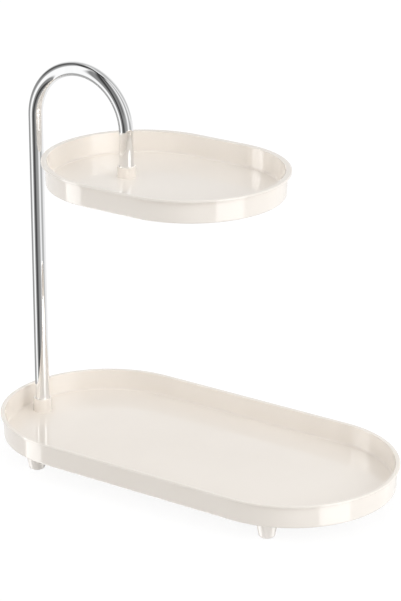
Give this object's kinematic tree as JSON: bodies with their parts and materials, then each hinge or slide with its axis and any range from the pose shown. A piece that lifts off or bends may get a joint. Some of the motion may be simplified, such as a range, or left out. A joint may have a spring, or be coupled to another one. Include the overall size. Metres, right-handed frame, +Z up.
{
  "type": "two-tier vanity tray",
  "caption": "Tiered vanity tray: oblong lipped dish on feet with a smaller dish above it, carried by a bent chrome tube that is screwed into round collars.",
  "frame": {"origin": "on the table, under the middle of the lower tray", "axes": "+X along the trays away from the post, +Y across the trays to the back, +Z up"},
  "size_m": [0.304, 0.1492, 0.2809],
  "materials": {
    "ivory_plastic": "warm ivory, high gloss",
    "chrome_tube": "bright chrome plate",
    "steel_fixings": "zinc-plated steel",
    "foot_pads": "translucent white silicone"
  },
  "bodies": {
    "base": {"lower_tray": "ivory_plastic", "post_washer": "steel_fixings", "foot_front_left": "ivory_plastic", "foot_front_right": "ivory_plastic", "foot_back_left": "ivory_plastic", "foot_back_right": "ivory_plastic", "foot_pad_front_left": "foot_pads", "foot_pad_front_right": "foot_pads", "foot_pad_back_left": "foot_pads", "foot_pad_back_right": "foot_pads"},
    "cane": {"cane_tube": "chrome_tube", "post_plug": "steel_fixings", "post_screw": "steel_fixings", "leg_plug": "steel_fixings", "leg_screw": "steel_fixings"},
    "upper": {"upper_tray": "ivory_plastic", "leg_washer": "steel_fixings"}
  },
  "joints": [
    {"name": "cane_swivel", "type": "hinge", "parent": "base", "child": "cane", "pos_m": [-0.1345, 0, 0.0189], "axis": [0, 0, 1], "range_deg": [-90, 90]},
    {"name": "upper_tray_swivel", "type": "hinge", "parent": "cane", "child": "upper", "pos_m": [-0.0569, 0, 0.2105], "axis": [0, 0, 1], "range_deg": [-100, 100]}
  ]
}
